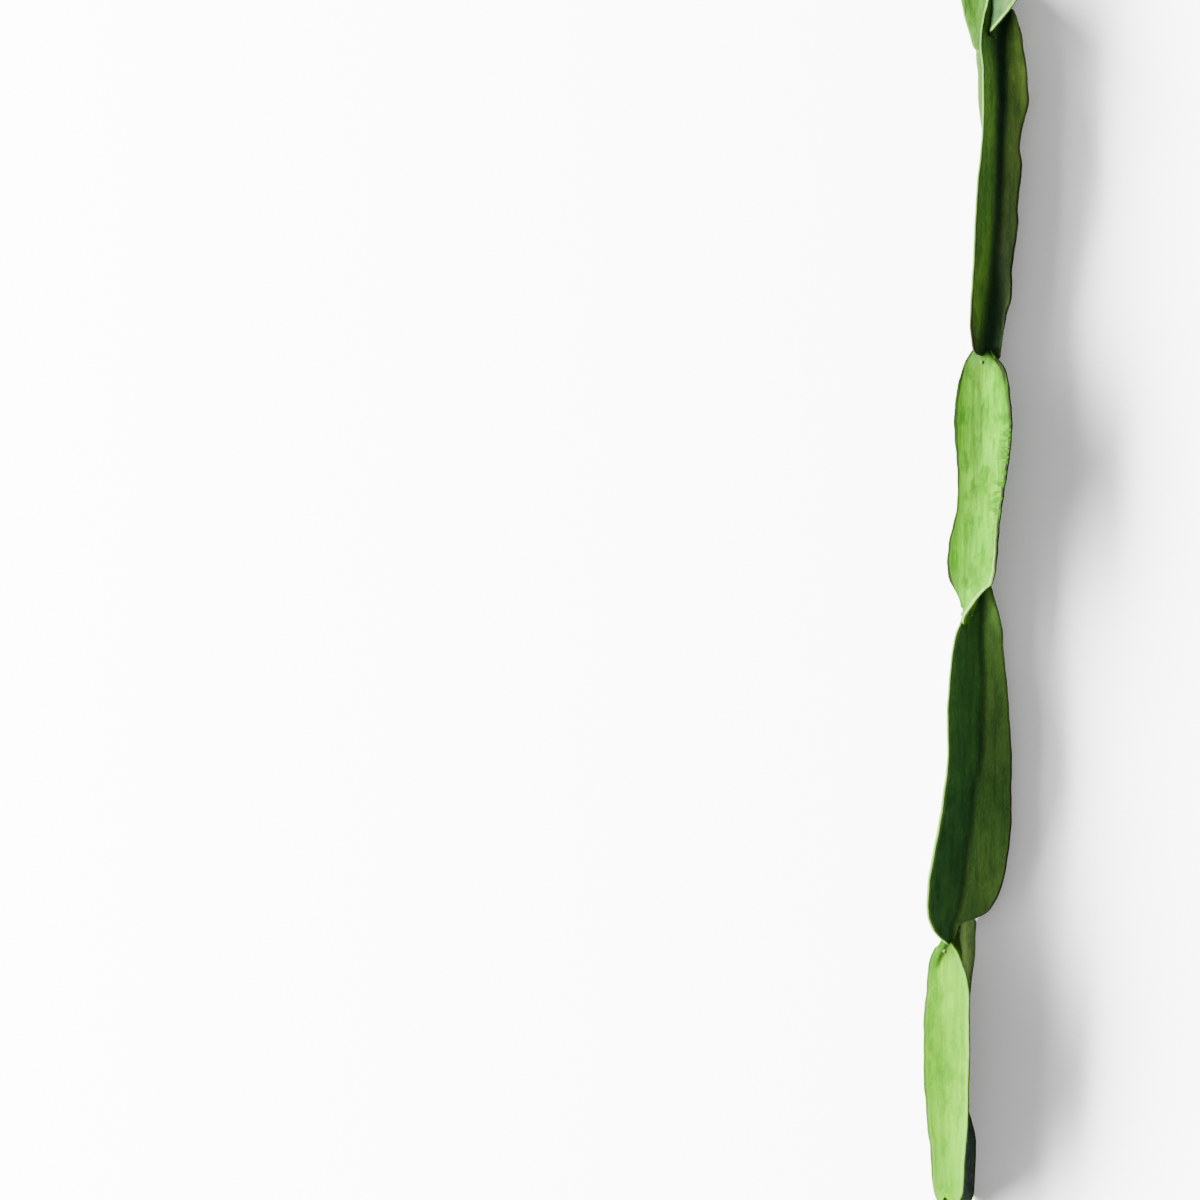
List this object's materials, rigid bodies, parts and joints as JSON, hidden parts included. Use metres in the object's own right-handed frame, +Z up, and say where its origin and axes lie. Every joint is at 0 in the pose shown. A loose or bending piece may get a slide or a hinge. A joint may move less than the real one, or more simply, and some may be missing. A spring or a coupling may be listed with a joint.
{
  "type": "rhipsalis stem segment",
  "caption": "Cut length of a chain cactus stem: flat-winged green segments joined end to end, each turned from the last, with a woolly areole where a wing ends.",
  "frame": {"origin": "centre of the underside of the box round the lying stem", "axes": "+Y along the stem towards its upper cut end, +Z up from the surface it lies on"},
  "size_m": [0.0263, 0.323, 0.0152],
  "materials": {
    "stem_flesh": "waxy satin",
    "areole_wool": "woolly"
  },
  "bodies": {
    "root": {"stem_segment_1": "stem_flesh", "stem_segment_2": "stem_flesh", "stem_segment_3": "stem_flesh", "stem_segment_4": "stem_flesh", "stem_segment_5": "stem_flesh", "stem_segment_6": "stem_flesh", "areole_1a": "areole_wool", "areole_1b": "areole_wool", "areole_1c": "areole_wool", "areole_2a": "areole_wool", "areole_2b": "areole_wool", "areole_2c": "areole_wool", "areole_3a": "areole_wool", "areole_3b": "areole_wool", "areole_3c": "areole_wool", "areole_4a": "areole_wool", "areole_4b": "areole_wool", "areole_4c": "areole_wool", "areole_5a": "areole_wool", "areole_5b": "areole_wool", "areole_5c": "areole_wool"}
  },
  "joints": []
}
